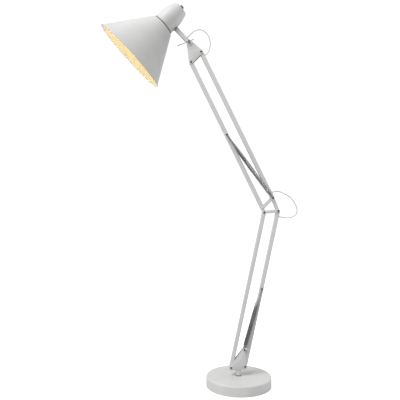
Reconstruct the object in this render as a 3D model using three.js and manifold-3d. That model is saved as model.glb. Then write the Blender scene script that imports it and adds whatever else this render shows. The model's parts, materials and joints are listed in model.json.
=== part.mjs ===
// Adjustable arm floor lamp: a weighted round base, a swivelling foot bracket, two parallelogram arms of
// square tube joined by an elbow frame, tension springs beside them, and a conical shade on a clamped stem.
// Millimetres, +Z up. The origin is the centre of the base's underside. The arms lie in the plane Y = 0, the
// shade is on the -X side, and -Y is the front.
import * as THREE from 'three';
import { mergeVertices } from 'three/addons/utils/BufferGeometryUtils.js';
import Module from 'manifold-3d';

const wasm = await Module();
wasm.setup();

// ---------------------------------------------------------------- driving dimensions
const GAP = 0.3; // between pieces that touch
const RUN = 0.45; // round a pin in its hole

const BASE_R = 147;
const BASE_H = 46;
const BASE_SHELL = 2.5;
const BASE_EDGE_R = 6;
const PAD_T = 3;
const WEIGHT_T = 17;
const INLET_R = 7;
const INLET_DROP = 13; // from the cover's top to the inlet's middle

const SPIGOT_R = 7;
const SPIGOT_RISE = 21; // top of the spigot above the cover
const GROOVE_RISE = 12; // the set screw's groove above the cover
const FLEX_R = 2.1;
const POST_R = 12.5;
const POST_RISE = 23; // shoulder of the post above the cover
const RING_T = 1.2;
const RING_R = 13.8;
const SET_SCREW_R = 2.6;

const TUBE = 18; // across the flats of every arm tube
const TUBE_WALL = 1.3;
const TUBE_CORNER = 2.6;
const PIN_R = 2.75;
const HEAD_R = 4.2;
const HEAD_T = 2.4;
const PLATE_T = 2.5;
const PLATE_SIDE_GAP = 0.8; // between a tube's face and a plate

const FOOT_PIVOT = [-34.7, 36.4]; // lower left pivot: X, and height above the cover
const FOOT_SPREAD = 63.3; // between the two lower pivots
const FOOT_TURN = 5.1; // degrees that their line rises to the right
const SPRING_POST = [60.4, 83.3]; // foot spring pin, from the lower left pivot
const FOOT_DISC_R = 11;
const TIP_DISC_R = 5.5;
const LOWER_ARM = 717.5; // between a lower tube's pivots
const LOWER_LEAN = 12.03; // degrees from upright, towards +X

const ELBOW_TOP = [-25, 59.4]; // elbow top pivot, from the elbow's lower right pivot
const ELBOW_SIDE_TURN = 111.39; // degrees, of the line from the elbow's left pivot to its side pivot
const TUBE_END_GAP = 2.43; // between the round tube ends on those two pivots
const STRUT_R = 6.6; // half the width of an elbow strut
const WINDOW_R = 2; // corner of the elbow's window
const UPPER_ARM = 734; // between an upper tube's pivots
const UPPER_LEAN = -26.1;

const CLAMP = [-55, 44.1]; // clamp pivot, from the upper right tube's head pivot
const HEAD_DISC_R = 8.5;
const CLAMP_DISC_R = 11;
const CLAMP_BOSS_R = 5.5;
const CLAMP_BAR = 78;
const CLAMP_BAR_R = 1.8;
const CLAMP_BAR_END = 3; // length of each of the bar's collars
const CLAMP_BAR_SIDE = 8; // from a plate's outside to the bar's axis
const CLAMP_BAR_SHIFT = -16; // the bar's middle from the screw's axis
const CLAMP_BAR_TILT = 21.6; // degrees that the bar rises towards +X

const SHADE_TURN = 46.6; // degrees from upright, towards +X, of the shade's axis
const STEM_REACH = 139; // from the clamp pivot to the shade's axis
const STEM_HEIGHT = 239; // from the rim's plane to the stem, along the shade's axis
const SHADE_R = 180;
const SHADE_SHELL = 1.5;
const SHADE_CONE = [66, 189]; // radius and height where the cone ends
const SHADE_NECK = [49, 206.5]; // radius and height of the top of the shoulder
const RIM_BEAD = 1.4; // how far the rolled rim stands out
const CARRIER_T = 2.9;
const CAP_R = 50;
const CAP_SHELL = 1.5;
const CAP_H = 108;
const CAP_END_R = 37;
const KNOB_R = 9.5;
const KNOB_T = 12;
const BULB_R = 30;
const BULB_SHELL = 1;
const BULB_TOP = 78; // the bulb's tip above the rim's plane
const BULB_NECK = 52; // from the middle of the bulb to its screw cap
const THREAD_R = 13;
const THREAD_LENGTH = 23;
const HOLDER_R = 19;

const SPRING_CLEAR = 1.2; // between a spring and a plate
const SPRING_R = 6.5;
const COIL_WALL = 1.1; // a tube of this wall weighs what the coils weigh
const HOOK_R = 1.3;
const HOOK_GAP = 0.8; // from a pin to the hook round it
const HOOK_END = 8; // from a pin to the first coil
const FOOT_COILS = [5, 6]; // a lower spring's first coil at the foot, and how soon the coils are full size
const ELBOW_COILS = [3, 30];
const TUBE_COILS = [3.4, 90];
const ANCHOR_AT = 0.5; // where the spring pin crosses a tube, as a share of its pivot distance

const PLATE_IN = TUBE / 2 + PLATE_SIDE_GAP;
const PLATE_OUT = PLATE_IN + PLATE_T;
const SPRING_SIDE = PLATE_OUT + SPRING_CLEAR + SPRING_R; // a spring's axis from the arm plane
const SPRING_PIN_HALF = SPRING_SIDE + 4; // where the head of a pin that holds springs begins

// ---------------------------------------------------------------- finishes
function finish(color, roughness, metalness) {
  return new THREE.MeshStandardMaterial({ color, roughness, metalness });
}

const PAINT = finish('#dcdcda', 0.45, 0.0);
const STEEL = finish('#8d8f91', 0.35, 1.0);
const SPRING_STEEL = finish('#77797b', 0.35, 1.0);
const BLACK = finish('#222325', 0.45, 0.0);
const IRON = finish('#4b4b4d', 0.8, 0.6);
const PAD = finish('#3a3a3c', 0.95, 0.0);
const FLEX = finish('#efeeea', 0.5, 0.0);
const PORCELAIN = finish('#f2f0ea', 0.3, 0.0);
const GLASS = finish('#fff1cf', 0.2, 0.0);

// ---------------------------------------------------------------- shape helpers
const rad = THREE.MathUtils.degToRad;
const add = ([x, z], [dx, dz]) => [x + dx, z + dz];
const polar = (length, degrees) => [length * Math.cos(rad(degrees)), length * Math.sin(rad(degrees))];
const between = ([ax, az], [bx, bz]) => Math.hypot(bx - ax, bz - az);

const group = new THREE.Group();

function addMesh(name, geometry, material, parent = group) {
  const mesh = new THREE.Mesh(geometry, material);
  mesh.name = name;
  parent.add(mesh);
  return mesh;
}

function addFrame(x, z, turn, parent = group) {
  const frame = new THREE.Group();
  frame.position.set(x, 0, z);
  frame.rotation.y = rad(turn);
  parent.add(frame);
  return frame;
}

function toSolid(geometry) {
  const bare = geometry.index ? geometry.toNonIndexed() : geometry.clone();
  bare.deleteAttribute('normal');
  bare.deleteAttribute('uv');
  const merged = mergeVertices(bare, 1e-4);
  return new wasm.Manifold(new wasm.Mesh({
    numProp: 3,
    vertProperties: new Float32Array(merged.attributes.position.array),
    triVerts: new Uint32Array(merged.index.array),
  }));
}

function toGeometry(solid) {
  const mesh = solid.getMesh();
  const geometry = new THREE.BufferGeometry();
  geometry.setAttribute('position', new THREE.BufferAttribute(new Float32Array(mesh.vertProperties), 3));
  geometry.setIndex(new THREE.BufferAttribute(new Uint32Array(mesh.triVerts), 1));
  return geometry;
}

function cut(geometry, ...tools) {
  return toGeometry(tools.reduce((solid, tool) => solid.subtract(toSolid(tool)), toSolid(geometry)));
}

function join(geometry, ...others) {
  return toGeometry(others.reduce((solid, other) => solid.add(toSolid(other)), toSolid(geometry)));
}

// A profile of [radius, height] points turned about Z. It starts and ends on the axis, or closes on itself.
function turned(profile, segments = 32) {
  const points = profile.map(([r, h]) => new THREE.Vector2(r, h));
  return new THREE.LatheGeometry(points, segments).rotateX(Math.PI / 2);
}

// A solid or hollow round bar along Z.
function bar(radius, low, high, segments = 24, bore = 0) {
  if (bore === 0) return turned([[0, low], [radius, low], [radius, high], [0, high]], segments);
  return turned([[bore, low], [radius, low], [radius, high], [bore, high], [bore, low]], segments);
}

const alongY = (geometry) => geometry.rotateX(Math.PI / 2);
const alongX = (geometry) => geometry.rotateY(Math.PI / 2);

// A round tool along Y, for a hole at X and Z.
const hole = ([x, z], radius, half = 60) => alongY(bar(radius, -half, half, 12)).translate(x, 0, z);

// The outline round a ring of discs [x, z, r] listed counter-clockwise: common tangents and outer arcs.
function discOutline(discs, Kind = THREE.Shape) {
  const tangents = discs.map(([x, z, r], i) => {
    const [nx, nz, nr] = discs[(i + 1) % discs.length];
    const length = Math.hypot(nx - x, nz - z);
    return Math.atan2(nz - z, nx - x) - Math.PI / 2 + Math.asin((r - nr) / length);
  });
  const outline = new Kind();
  discs.forEach(([x, z, r], i) => {
    const from = tangents[(i + discs.length - 1) % discs.length];
    outline.absarc(x, z, r, from, tangents[i], false);
  });
  outline.closePath();
  return outline;
}

// A sheet of the given outline in the XZ plane, between two Y levels.
function sheet(outline, low, high, curveSegments = 3) {
  const options = { depth: high - low, bevelEnabled: false, curveSegments };
  const geometry = new THREE.ExtrudeGeometry(outline, options);
  return geometry.rotateX(Math.PI / 2).translate(0, high, 0);
}

// Moves each side of a counter-clockwise polygon inwards by a distance.
function inset(points, distance) {
  return points.map((point, i) => {
    const before = points[(i + points.length - 1) % points.length];
    const after = points[(i + 1) % points.length];
    const inAngle = Math.atan2(point[1] - before[1], point[0] - before[0]) + Math.PI / 2;
    const outAngle = Math.atan2(after[1] - point[1], after[0] - point[0]) + Math.PI / 2;
    const half = (outAngle - inAngle) / 2;
    const reach = distance / Math.cos(half);
    return [point[0] + reach * Math.cos(inAngle + half), point[1] + reach * Math.sin(inAngle + half)];
  });
}

// A rounded square section across flats `width`, as a shape in the XY plane.
function squareSection(width, corner, Kind = THREE.Shape) {
  const inner = width / 2 - corner;
  return discOutline([
    [-inner, -inner, corner], [inner, -inner, corner], [inner, inner, corner], [-inner, inner, corner],
  ], Kind);
}

const squareBar = (width, corner, low, high) => new THREE.ExtrudeGeometry(
  squareSection(width, corner), { depth: high - low, bevelEnabled: false, curveSegments: 2 },
).translate(0, 0, low);

// A headed pin along Y: a shank with a domed head at each end, `half` being where a head begins.
function headedPin(half) {
  return alongY(turned([
    [0, -half - HEAD_T], [HEAD_R - 1, -half - HEAD_T], [HEAD_R, -half], [PIN_R, -half],
    [PIN_R, half], [HEAD_R, half], [HEAD_R - 1, half + HEAD_T], [0, half + HEAD_T],
  ], 12));
}

// A cord's solid along hand-chosen [x, z] points in the arm plane.
function cordTube(points, steps) {
  const stations = points.map(([x, z]) => new THREE.Vector3(x, 0, z));
  const path = new THREE.CatmullRomCurve3(stations, false, 'centripetal');
  path.getUtoTmapping = (u) => u; // equal steps between chosen points, so bends get short ones
  const section = new THREE.Shape();
  section.absarc(0, 0, FLEX_R, 0, Math.PI * 2, false);
  const options = { extrudePath: path, steps, bevelEnabled: false, curveSegments: 4 };
  return new THREE.ExtrudeGeometry(section, options);
}

// ---------------------------------------------------------------- base
const coverTop = BASE_H;
const coverInner = BASE_R - BASE_SHELL;
const padR = coverInner - 3 * GAP;
const weightLow = PAD_T + GAP;
const weightHigh = weightLow + WEIGHT_T;
const inletZ = coverTop - INLET_DROP;
const spigotTop = coverTop + SPIGOT_RISE;
const flangeT = 4;
const nutH = 8;
const nutR = 11;
const nutFlangeR = nutR + 1;
const nutFlangeT = 2.4;
const nutPocketR = nutR + 2;
const spigotThreadR = 5;

function edgeArc(radius, top, corner, steps = 4) {
  return Array.from({ length: steps + 1 }, (_, i) => {
    const angle = (i / steps) * (Math.PI / 2);
    return [radius - corner + corner * Math.cos(angle), top - corner + corner * Math.sin(angle)];
  });
}

const coverProfile = [
  [coverInner, GAP], [BASE_R, GAP], ...edgeArc(BASE_R, coverTop, BASE_EDGE_R),
  [SPIGOT_R + RUN, coverTop], [SPIGOT_R + RUN, coverTop - BASE_SHELL],
  ...edgeArc(coverInner, coverTop - BASE_SHELL, BASE_EDGE_R - BASE_SHELL, 3).reverse(), [coverInner, GAP],
];
const inletNeckR = INLET_R - 1.5;
const inletHole = alongY(bar(inletNeckR, -BASE_R - 20, -coverInner + 20, 20)).translate(0, 0, inletZ);
addMesh('base_cover', cut(turned(coverProfile, 36), inletHole), PAINT);
addMesh('base_pad', bar(padR, 0, PAD_T, 36), PAD);
const weightR = coverInner - 3;
const weightProfile = [
  [nutPocketR, weightLow], [weightR, weightLow], [weightR, weightHigh], [spigotThreadR + RUN, weightHigh],
  [spigotThreadR + RUN, weightLow + nutH + 3], [nutPocketR, weightLow + nutH + 3], [nutPocketR, weightLow],
];
addMesh('base_weight', turned(weightProfile, 36), IRON);

// The spigot: threaded below its flange, and the bearing that the post turns on above it.
const flangeLow = weightHigh + GAP;
const flexBore = FLEX_R + 0.7;
const grooveZ = coverTop + GROOVE_RISE;
const grooveR = SPIGOT_R - 1.4;
const grooveHalf = 2.6;
const spigotProfile = [
  [0, weightLow + 1], [spigotThreadR, weightLow + 1], [spigotThreadR, flangeLow], [SPIGOT_R + 5, flangeLow],
  [SPIGOT_R + 5, flangeLow + flangeT], [SPIGOT_R, flangeLow + flangeT], [SPIGOT_R, grooveZ - grooveHalf],
  [grooveR, grooveZ - grooveHalf], [grooveR, grooveZ + grooveHalf], [SPIGOT_R, grooveZ + grooveHalf],
  [SPIGOT_R, spigotTop], [0, spigotTop],
];
const slotLow = inletZ - flexBore;
const slotHigh = coverTop - BASE_SHELL - 1;
const slot = new THREE.BoxGeometry(2 * flexBore, 20, slotHigh - slotLow)
  .translate(0, 10, (slotLow + slotHigh) / 2);
const spigot = cut(turned(spigotProfile, 24), bar(flexBore, slotLow, spigotTop + 5, 12), slot);
addMesh('base_spigot', spigot, STEEL);
const nutTop = weightLow + nutH + 3 - GAP;
const nutFlange = bar(nutFlangeR, nutTop - nutFlangeT, nutTop, 24);
const nutBody = join(bar(nutR, nutTop - nutH, nutTop - 1, 6), nutFlange);
addMesh('spigot_nut', cut(nutBody, bar(spigotThreadR + RUN, 0, WEIGHT_T + 5, 20)), STEEL);
addMesh('cable_inlet', alongY(turned([
  [FLEX_R + 1, -BASE_R - 3], [INLET_R, -BASE_R - 3], [INLET_R, -BASE_R - GAP],
  [inletNeckR - GAP, -BASE_R - GAP], [inletNeckR - GAP, -coverInner + 3],
  [FLEX_R + 1, -coverInner + 3], [FLEX_R + 1, -BASE_R - 3],
], 16)).translate(0, 0, inletZ), BLACK);

// ---------------------------------------------------------------- foot: post, ring, bracket
const ringLow = coverTop + GAP;
const postLow = ringLow + RING_T + GAP;
addMesh('swivel_ring', bar(RING_R, ringLow, ringLow + RING_T, 24, SPIGOT_R + RUN), BLACK);
const postTop = coverTop + POST_RISE;
const tongueX = [-14, 9];
const tongueTop = postTop + 17;
const tongueLow = postTop - 4;
const tongueHalf = PLATE_IN - GAP;
const boreR = SPIGOT_R + RUN;
const tongue = new THREE.BoxGeometry(tongueX[1] - tongueX[0], 2 * tongueHalf, tongueTop - tongueLow)
  .translate((tongueX[0] + tongueX[1]) / 2, 0, (tongueTop + tongueLow) / 2);
const postBody = join(bar(POST_R, postLow, postTop, 24), tongue);
const screwHole = alongY(bar(SET_SCREW_R + GAP, -POST_R - 5, -SPIGOT_R + 2, 12)).translate(0, 0, grooveZ);
addMesh('swivel_post', cut(postBody, bar(boreR, postLow - 5, spigotTop + GAP, 24), screwHole,
  bar(flexBore, spigotTop - 5, tongueTop + 5, 12)), PAINT);
const setScrew = alongY(bar(SET_SCREW_R, -POST_R - 0.6, -grooveR - RUN, 12)).translate(0, 0, grooveZ);
addMesh('post_set_screw', setScrew, BLACK);

const lowerLeft = [FOOT_PIVOT[0], coverTop + FOOT_PIVOT[1]];
const lowerRight = add(lowerLeft, polar(FOOT_SPREAD, FOOT_TURN));
const footTip = add(lowerLeft, SPRING_POST);
const footOutline = () => discOutline([
  [lowerLeft[0] + 1.5, lowerLeft[1] - 1.5, FOOT_DISC_R],
  [lowerRight[0] - 1.5, lowerRight[1] - 3.5, FOOT_DISC_R],
  [...footTip, TIP_DISC_R],
]);

function platePair(name, outline, holes, material = PAINT) {
  for (const [side, low, high] of [['front', -PLATE_OUT, -PLATE_IN], ['rear', PLATE_IN, PLATE_OUT]]) {
    const tools = holes.map((at) => hole(at, PIN_R + RUN));
    addMesh(`${name}_${side}`, cut(sheet(outline(), low, high), ...tools), material);
  }
}

platePair('foot_plate', footOutline, [lowerLeft, lowerRight, footTip]);

const pinHalf = PLATE_OUT + GAP;
function addPin(name, [x, z], half = pinHalf, material = BLACK) {
  addMesh(name, headedPin(half).translate(x, 0, z), material);
}
addPin('foot_pin_left', lowerLeft);
addPin('foot_pin_right', lowerRight);

// Each lower spring hangs on a stud of its own, riveted in its plate, so the tubes fold between the studs.
const studProfile = [
  [0, PLATE_IN], [PIN_R, PLATE_IN], [PIN_R, SPRING_PIN_HALF], [HEAD_R, SPRING_PIN_HALF],
  [HEAD_R - 1, SPRING_PIN_HALF + HEAD_T], [0, SPRING_PIN_HALF + HEAD_T],
];
for (const [side, turn] of [['front', 0], ['rear', Math.PI]]) {
  const stud = alongY(turned(studProfile, 12)).rotateZ(turn).translate(footTip[0], 0, footTip[1]);
  addMesh(`foot_spring_stud_${side}`, stud, BLACK);
}

// ---------------------------------------------------------------- arm tubes
const portR = FLEX_R + 1.2;
const wallFace = TUBE / 2;

// A tube along Z from one pivot at the origin to the other at `length`, with ends rounded about the pivots.
// `ports` are the heights where the flex passes a wall, each with the wall's side, and `anchored` adds the
// spring pin's holes.
function addTube(name, frame, length, ports = [], anchored = false) {
  const innerCorner = TUBE_CORNER - TUBE_WALL;
  const roundEnd = (z) => alongY(bar(wallFace, -wallFace, wallFace, 16)).translate(0, 0, z);
  const holes = [[0, 0], [0, length]];
  if (anchored) holes.push([0, length * ANCHOR_AT]);
  const tools = holes.map((at) => hole(at, PIN_R + RUN));
  for (const [z, side] of ports) {
    tools.push(alongX(bar(portR, 2, TUBE, 12)).scale(side, 1, side).translate(0, 0, z));
  }
  const bore = squareBar(TUBE - 2 * TUBE_WALL, innerCorner, -TUBE, length + TUBE);
  const outside = join(squareBar(TUBE, TUBE_CORNER, 0, length), roundEnd(0), roundEnd(length));
  addMesh(name, cut(outside, bore, ...tools), PAINT, frame);
}

const lowerLeftFrame = addFrame(...lowerLeft, LOWER_LEAN);
const lowerRightFrame = addFrame(...lowerRight, LOWER_LEAN);
const FOOT_PORT = 40; // height of the flex's way into the lower right tube
const END_PORT = 24; // from an elbow pivot to the flex's way out near it
const HEAD_PORT = 19; // and from the head's pivot
addTube('lower_tube_left', lowerLeftFrame, LOWER_ARM);
addTube('lower_tube_right', lowerRightFrame, LOWER_ARM, [[FOOT_PORT, -1], [LOWER_ARM - END_PORT, 1]], true);

const lowerRun = polar(LOWER_ARM, 90 - LOWER_LEAN);
const elbowLeft = add(lowerLeft, lowerRun);
const elbowRight = add(lowerRight, lowerRun);
const elbowTop = add(elbowRight, ELBOW_TOP);
const elbowSide = add(elbowLeft, polar(TUBE + TUBE_END_GAP, ELBOW_SIDE_TURN));

const upperLeftFrame = addFrame(...elbowSide, UPPER_LEAN);
const upperRightFrame = addFrame(...elbowTop, UPPER_LEAN);
addTube('upper_tube_left', upperLeftFrame, UPPER_ARM, [], true);
addTube('upper_tube_right', upperRightFrame, UPPER_ARM, [[END_PORT, 1], [UPPER_ARM - HEAD_PORT, 1]]);

const upperRun = polar(UPPER_ARM, 90 - UPPER_LEAN);
const headLeft = add(elbowSide, upperRun);
const headRight = add(elbowTop, upperRun);
const clamp = add(headRight, CLAMP);

addMesh('lower_spring_anchor', headedPin(SPRING_PIN_HALF).translate(0, 0, LOWER_ARM * ANCHOR_AT), BLACK,
  lowerRightFrame);
addMesh('upper_spring_anchor', headedPin(SPRING_PIN_HALF).translate(0, 0, UPPER_ARM * ANCHOR_AT), BLACK,
  upperLeftFrame);

// ---------------------------------------------------------------- elbow frame
const elbowCorners = [elbowLeft, elbowRight, elbowTop, elbowSide];
const elbowOutline = () => {
  const outline = discOutline(elbowCorners.map((at) => [...at, STRUT_R]));
  const corners = inset(elbowCorners, STRUT_R + WINDOW_R).map((at) => [...at, WINDOW_R]);
  outline.holes.push(discOutline(corners, THREE.Path));
  return outline;
};
platePair('elbow_frame', elbowOutline, elbowCorners);
addPin('elbow_pin_left', elbowLeft);
addPin('elbow_pin_right', elbowRight);
addPin('elbow_spring_pin', elbowTop, SPRING_PIN_HALF);
addPin('elbow_pin_side', elbowSide, pinHalf, PAINT);

// ---------------------------------------------------------------- springs
// Half a spring along Z: a hook by the pin at the origin, then the coils, as a tube. It widens from the first
// coil's radius over the given length, and runs to `reach`.
function springHalf(reach, [firstR, widening]) {
  const start = PIN_R + HOOK_GAP;
  const inside = SPRING_R - COIL_WALL;
  return turned([
    [0, start], [HOOK_R, start], [HOOK_R, HOOK_END], [firstR, HOOK_END], [SPRING_R, HOOK_END + widening],
    [SPRING_R, reach], [inside, reach], [inside, HOOK_END + widening],
    [firstR - COIL_WALL, HOOK_END + COIL_WALL], [0, HOOK_END + COIL_WALL],
  ], 12);
}

// A pair of springs, front and rear, from a lower pin to an upper one, each in halves hung on either pin.
function addSprings(name, from, to, lowCoils) {
  const length = between(from, to);
  const turn = 90 - THREE.MathUtils.radToDeg(Math.atan2(to[1] - from[1], to[0] - from[0]));
  const frame = addFrame(...from, turn);
  const half = length / 2 - GAP / 2;
  for (const [side, y] of [['front', -SPRING_SIDE], ['rear', SPRING_SIDE]]) {
    addMesh(`${name}_${side}_lower`, springHalf(half, lowCoils).translate(0, y, 0), SPRING_STEEL, frame);
    const upper = springHalf(half, TUBE_COILS).rotateX(Math.PI).translate(0, y, length);
    addMesh(`${name}_${side}_upper`, upper, SPRING_STEEL, frame);
  }
}

const alongTube = (pivot, run) => add(pivot, run.map((part) => part * ANCHOR_AT));
addSprings('lower_spring', footTip, alongTube(lowerRight, lowerRun), FOOT_COILS);
addSprings('upper_spring', elbowTop, alongTube(elbowSide, upperRun), ELBOW_COILS);

// ---------------------------------------------------------------- head bracket and clamp
const headOutline = () => discOutline([
  [...headLeft, HEAD_DISC_R], [...headRight, HEAD_DISC_R], [...clamp, CLAMP_DISC_R],
]);
platePair('head_plate', headOutline, [headLeft, headRight, clamp]);
addPin('head_pin_left', headLeft);
addPin('head_pin_right', headRight);

const barSide = PLATE_OUT + CLAMP_BAR_SIDE;
const bossLow = PLATE_OUT + GAP;
const bossEnd = barSide + 5;
const screwEnd = PLATE_OUT + 6;
const barFrame = addFrame(...clamp, -CLAMP_BAR_TILT);
const screwProfile = [
  [0, -screwEnd], [PIN_R, -screwEnd], [PIN_R, bossLow], [CLAMP_BOSS_R, bossLow],
  [CLAMP_BOSS_R, bossEnd - 1], [CLAMP_BOSS_R - 1, bossEnd], [0, bossEnd],
];
const barHole = alongX(bar(CLAMP_BAR_R + GAP, -20, 20, 16)).translate(0, -barSide, 0);
addMesh('clamp_screw', cut(alongY(turned(screwProfile, 24)), barHole), STEEL, barFrame);
const clampNut = cut(bar(6.5, 0.5 - screwEnd, -bossLow, 6), bar(PIN_R + RUN, -60, 60, 20));
addMesh('clamp_nut', alongY(clampNut), STEEL, barFrame);
const barHalf = CLAMP_BAR / 2;
const barPlain = barHalf - CLAMP_BAR_END;
const barEndR = CLAMP_BAR_R + 0.7;
addMesh('clamp_bar', alongX(turned([
  [0, -barHalf], [barEndR, -barHalf], [barEndR, -barPlain], [CLAMP_BAR_R, -barPlain],
  [CLAMP_BAR_R, barPlain], [barEndR, barPlain], [barEndR, barHalf], [0, barHalf],
], 16)).translate(CLAMP_BAR_SHIFT, -barSide, 0), STEEL, barFrame);

// ---------------------------------------------------------------- stem, with X along it, from the shade
const head = addFrame(...clamp, SHADE_TURN);
const shade = new THREE.Group();
shade.position.set(-STEM_REACH, 0, -STEM_HEIGHT);
head.add(shade);

const stemRoot = CAP_R + 9 - STEM_REACH;
const stemTubeEnd = 10;
const nubR = 5;
const nubEnd = CAP_R - 16 - STEM_REACH;
const stemPort = -22;
const stemBlock = 6;
const stemTube = cut(
  squareBar(TUBE, TUBE_CORNER, stemRoot, stemTubeEnd),
  squareBar(TUBE - 2 * TUBE_WALL, TUBE_CORNER - TUBE_WALL, stemRoot + stemBlock, stemTubeEnd + 1),
);
const stemBody = join(stemTube, bar(nubR, nubEnd, stemRoot + stemBlock / 2, 24));
const stemSolid = cut(alongX(stemBody), alongX(bar(flexBore, nubEnd - 1, stemRoot + stemBlock + 1, 12)),
  hole([0, 0], PIN_R + RUN), bar(portR, 2, TUBE, 12).translate(stemPort, 0, 0));
addMesh('head_stem', stemSolid, PAINT, head);
addMesh('stem_collar', alongX(bar(11, CAP_R + 0.8, CAP_R + 8.6, 20, nubR + RUN))
  .translate(0, 0, STEM_HEIGHT), BLACK, shade);
const stemNut = cut(bar(9, CAP_R - CAP_SHELL - 8, CAP_R - CAP_SHELL - 2, 6), bar(nubR + RUN, 0, CAP_R, 20));
addMesh('stem_nut', alongX(stemNut).translate(-STEM_REACH, 0, 0), STEEL, head);

// ---------------------------------------------------------------- shade and cap, in the shade's own frame
const shadeTop = SHADE_NECK[1];
const holderHole = HOLDER_R + 3;
const coneInner = ([r, z]) => [r - SHADE_SHELL, z];
const shadeProfile = [
  [SHADE_R - SHADE_SHELL, 0], [SHADE_R, 0], [SHADE_R + RIM_BEAD, 1.4], [SHADE_R + RIM_BEAD, 3.6],
  [SHADE_R - 2.2, 5], SHADE_CONE, [SHADE_CONE[0] - 4, SHADE_CONE[1] + 7],
  [SHADE_CONE[0] - 11, shadeTop - 3.5], SHADE_NECK,
  [holderHole, shadeTop], [holderHole, shadeTop - SHADE_SHELL],
  [SHADE_NECK[0] - 1, shadeTop - SHADE_SHELL], [SHADE_CONE[0] - 12.5, shadeTop - 5.5],
  [SHADE_CONE[0] - 6, SHADE_CONE[1] + 6], coneInner(SHADE_CONE), [SHADE_R - SHADE_SHELL, 0],
];
addMesh('shade_cone', turned(shadeProfile, 36), PAINT, shade);

const carrierLow = shadeTop + GAP;
const carrierHigh = carrierLow + CARRIER_T;
addMesh('shade_carrier', bar(CAP_R - 3, carrierLow, carrierHigh, 32, HOLDER_R + RUN), BLACK, shade);
const capLow = carrierHigh + GAP;
const capTop = capLow + CAP_H;
const capOutline = [
  [CAP_R, capLow], [CAP_R, capLow + 40], [CAP_R - 2.4, capTop - 43], [CAP_R - 6, capTop - 25],
  [CAP_END_R + 2.4, capTop - 15], [CAP_END_R, capTop - 6], [CAP_END_R - 2.5, capTop - 1.5],
  [CAP_END_R - 6, capTop],
];
const neckR = 4.5;
const capInner = capOutline.map(([r, z], i) => [r - CAP_SHELL, z - CAP_SHELL * i / (capOutline.length - 1)]);
const capProfile = [
  ...capOutline, [neckR + RUN, capTop], [neckR + RUN, capTop - CAP_SHELL], ...capInner.reverse(),
  capOutline[0],
];
const nubHole = alongX(bar(nubR + RUN, 20, CAP_R + 5, 20)).translate(0, 0, STEM_HEIGHT);
addMesh('shade_cap', cut(turned(capProfile, 24), nubHole), PAINT, shade);

const bulbCentre = BULB_TOP + BULB_R;
const bulbNeck = bulbCentre + BULB_NECK;
const bulbArc = Array.from({ length: 8 }, (_, i) => {
  const angle = THREE.MathUtils.lerp(-90, 32, i / 7);
  return polar(BULB_R, angle);
}).map(([r, z]) => [Math.max(r, 0), z + bulbCentre]);
bulbArc[0][0] = 0;
const bulbOutline = [...bulbArc, [19, bulbCentre + 29], [15, bulbCentre + 42], [THREAD_R + 0.5, bulbNeck],
  [THREAD_R, bulbNeck + 1], [THREAD_R, bulbNeck + THREAD_LENGTH]];
const bulbInside = bulbOutline.slice(1).map(([r, z]) => [r - BULB_SHELL, z]).reverse();
addMesh('bulb', turned([...bulbOutline, ...bulbInside, [0, BULB_TOP + BULB_SHELL]], 20), GLASS, shade);
const holderLow = bulbNeck + 1;
const socketR = THREAD_R + 1;
const socketTop = bulbNeck + THREAD_LENGTH + 2;
const holderTop = carrierHigh + 36;
addMesh('lampholder', turned([
  [socketR, holderLow], [HOLDER_R, holderLow], [HOLDER_R, carrierHigh + GAP],
  [HOLDER_R + 6, carrierHigh + GAP],
  [HOLDER_R + 6, carrierHigh + 3], [HOLDER_R - 2, carrierHigh + 5], [HOLDER_R - 2, holderTop],
  [0, holderTop],
  [0, socketTop], [socketR, socketTop], [socketR, holderLow],
], 20), PORCELAIN, shade);
const ringTop = shadeTop - SHADE_SHELL - GAP;
addMesh('lampholder_ring', bar(HOLDER_R + 7, ringTop - 6, ringTop, 20, HOLDER_R + RUN), PORCELAIN, shade);

const switchTop = capTop - CAP_SHELL - GAP;
addMesh('switch_body', turned([
  [0, switchTop - 26], [12, switchTop - 26], [12, switchTop], [neckR, switchTop], [neckR, capTop + 1],
  [0, capTop + 1],
], 20), BLACK, shade);
addMesh('switch_knob', turned([
  [0, capTop + 1 + GAP], [KNOB_R, capTop + 1 + GAP], [KNOB_R, capTop + KNOB_T - 1],
  [KNOB_R - 1.2, capTop + KNOB_T], [0, capTop + KNOB_T],
], 24), BLACK, shade);

// ---------------------------------------------------------------- flex
// The flex enters at the back of the base, rises through the spigot and runs inside the right-hand tubes.
// It is free in three loops, at the foot, the elbow and the head. Points are [X, Z] unless said otherwise.
const flexOut = wallFace + 1.5;

const baseFlex = [[BASE_R - 2, inletZ], [120, inletZ], [60, inletZ], [18, inletZ], [8, inletZ + 0.6],
  [2.2, inletZ + 4.4], [0, inletZ + 12], [0, grooveZ - 1], [0, spigotTop]]; // [Y, Z]
addMesh('base_flex', cordTube(baseFlex, 16).rotateZ(Math.PI / 2), FLEX);

const wallRoom = wallFace - TUBE_WALL - FLEX_R; // how far the flex can lie from a tube's middle
const pinSide = (PIN_R + FLEX_R + wallRoom) / 2; // where it passes, between the spring pin and the wall
const bendSide = 1.2 - wallRoom; // where it starts its bend out through the other wall
const foot = FOOT_PORT;
const top = LOWER_ARM - END_PORT;
const lowerFlex = [[-flexOut, foot], [-4.5, foot + 0.8], [1, foot + 5], [4.4, foot + 14],
  [pinSide, foot + 34], [pinSide, foot + 54], [pinSide, top - 170], [pinSide, top - 150], [0.5, top - 95],
  [bendSide, top - 40],
  [bendSide, top - 20], [-2.6, top - 7], [3.4, top - 0.8], [flexOut, top]];
addMesh('lower_flex', cordTube(lowerFlex, 26), FLEX, lowerRightFrame);
const high = UPPER_ARM - HEAD_PORT;
const upperFlex = [[flexOut, END_PORT], [3.4, END_PORT + 0.8], [-2.6, END_PORT + 7],
  [bendSide, END_PORT + 20], [bendSide, END_PORT + 40], [bendSide, high - 40], [bendSide, high - 20],
  [-2.6, high - 7], [3.4, high - 0.8], [flexOut, high]];
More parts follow.
